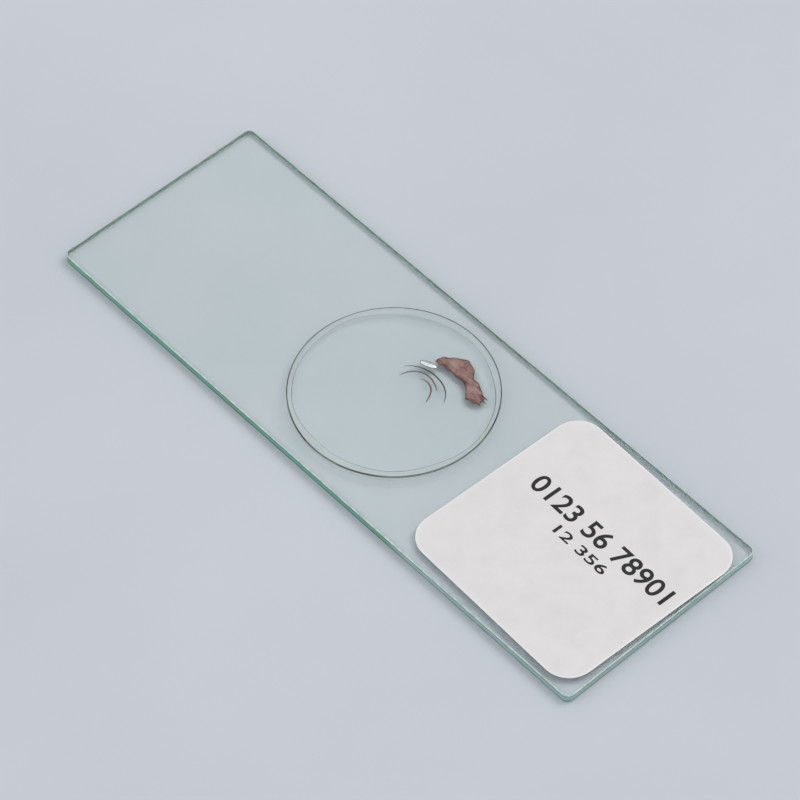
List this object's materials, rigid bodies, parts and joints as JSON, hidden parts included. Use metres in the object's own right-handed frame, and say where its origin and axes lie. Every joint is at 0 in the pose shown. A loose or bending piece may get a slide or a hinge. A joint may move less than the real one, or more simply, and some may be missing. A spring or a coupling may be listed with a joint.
{
  "type": "microscope slide",
  "caption": "Prepared glass microscope slide with a paper label on one end and a stained section under a round cover glass.",
  "frame": {"origin": "middle of the glass plate's underside", "axes": "+X along the plate to the label end, +Y across the plate to the edge that the top of the label faces, +Z out of the label side"},
  "size_m": [0.076, 0.026, 0.0014],
  "materials": {
    "slide_glass": "clear faces, ground edges with a green tint",
    "label_paper": "matt white, plain figures in black",
    "stained_tissue": "thin, translucent, reddish brown stain",
    "strand": "fine strands, one dull green and the others brown",
    "mounting_resin": "clear, faintly straw coloured",
    "thin_glass": "clear, cut rim"
  },
  "bodies": {
    "root": {"glass_slide": "slide_glass", "label": "label_paper", "tissue_section": "stained_tissue", "hair_strands": "strand", "mounting_medium": "mounting_resin", "cover_glass": "thin_glass"}
  },
  "joints": []
}
